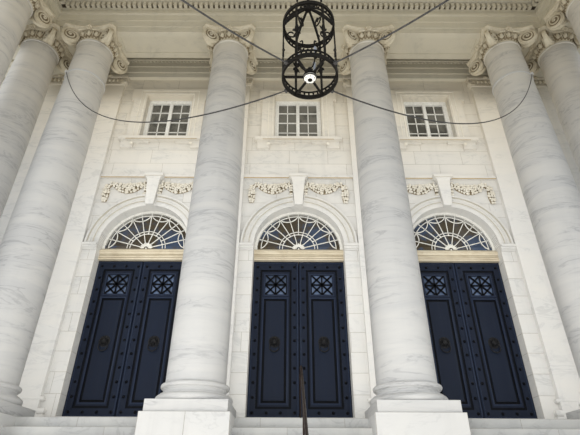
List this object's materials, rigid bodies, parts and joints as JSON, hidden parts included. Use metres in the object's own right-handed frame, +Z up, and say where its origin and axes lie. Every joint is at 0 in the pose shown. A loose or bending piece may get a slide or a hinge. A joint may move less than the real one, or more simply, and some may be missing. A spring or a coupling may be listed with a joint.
{
  "type": "office building",
  "caption": "Stone office building entered up steps through a deep columned carriage porch, with arched double doors, upper windows and a hanging lantern.",
  "frame": {"origin": "middle of the building's ground plan, at ground level", "axes": "+Z up, the porch faces -Y, +X to the right of someone who looks along +Y at the doors"},
  "size_m": [25.781, 25.4564, 15.38],
  "materials": {
    "marble": "honed, thin ashlar joints",
    "column_marble": "honed, grey wavy veins",
    "pedestal_marble": "honed",
    "step_marble": "worn",
    "floor_stone": "plain",
    "roof_stone": "plain",
    "plaster": "painted plaster",
    "tan_limestone": "honed",
    "white_wood": "white paint",
    "window_glass": "clear",
    "fanlight_glass": "clear, dark behind",
    "dark_iron": "black paint",
    "candle_white": "lamp tubes",
    "stay_wire": "dull grey wire rope",
    "dark_bronze": "dark patina",
    "door_blue": "dark navy, satin",
    "knocker_black": "black"
  },
  "bodies": {
    "building": {"front_piers": "marble", "front_arch_wall": "marble", "front_upper_wall": "marble", "left_wall": "marble", "right_wall": "marble", "back_wall": "marble", "podium_walls": "marble", "front_pilasters": "marble", "side_pilasters": "marble", "back_pilasters": "marble", "belt_course": "marble", "keystones": "marble", "archivolts": "marble", "window_surrounds": "marble", "window_frames": "white_wood", "window_glass": "window_glass", "arched_frames": "white_wood", "arched_glass": "fanlight_glass", "ground_floor": "floor_stone", "upper_floor": "floor_stone", "porch_landing": "marble", "entrance_steps": "step_marble", "pedestals": "pedestal_marble", "column_bases": "column_marble", "column_shafts": "column_marble", "column_capitals": "column_marble", "portico_entablature": "marble", "main_entablature": "marble", "portico_ceiling": "plaster", "portico_roof": "roof_stone", "main_roof": "roof_stone", "main_parapet": "marble", "portico_parapet": "marble", "door_sills": "step_marble", "door_transoms": "tan_limestone", "lantern_cage": "dark_iron", "lantern_rod": "dark_iron", "lantern_candles": "candle_white", "handrail": "dark_bronze", "lantern_stays": "stay_wire"},
    "west_left_leaf": {"west_door_left_leaf": "door_blue", "west_door_left_knocker": "knocker_black"},
    "west_right_leaf": {"west_door_right_leaf": "door_blue", "west_door_right_knocker": "knocker_black"},
    "middle_left_leaf": {"middle_door_left_leaf": "door_blue", "middle_door_left_knocker": "knocker_black"},
    "middle_right_leaf": {"middle_door_right_leaf": "door_blue", "middle_door_right_knocker": "knocker_black"},
    "east_left_leaf": {"east_door_left_leaf": "door_blue", "east_door_left_knocker": "knocker_black"},
    "east_right_leaf": {"east_door_right_leaf": "door_blue", "east_door_right_knocker": "knocker_black"}
  },
  "joints": [
    {"name": "west_left_swing", "type": "hinge", "parent": "building", "child": "west_left_leaf", "pos_m": [-4.685, -0.21175, 2.775], "axis": [0, 0, 1], "range_deg": [0, 90]},
    {"name": "west_right_swing", "type": "hinge", "parent": "building", "child": "west_right_leaf", "pos_m": [-2.635, -0.21175, 2.775], "axis": [0, 0, -1], "range_deg": [0, 90]},
    {"name": "middle_left_swing", "type": "hinge", "parent": "building", "child": "middle_left_leaf", "pos_m": [-1.025, -0.21175, 2.775], "axis": [0, 0, 1], "range_deg": [0, 90]},
    {"name": "middle_right_swing", "type": "hinge", "parent": "building", "child": "middle_right_leaf", "pos_m": [1.025, -0.21175, 2.775], "axis": [0, 0, -1], "range_deg": [0, 90]},
    {"name": "east_left_swing", "type": "hinge", "parent": "building", "child": "east_left_leaf", "pos_m": [2.635, -0.21175, 2.775], "axis": [0, 0, 1], "range_deg": [0, 90]},
    {"name": "east_right_swing", "type": "hinge", "parent": "building", "child": "east_right_leaf", "pos_m": [4.685, -0.21175, 2.775], "axis": [0, 0, -1], "range_deg": [0, 90]}
  ]
}
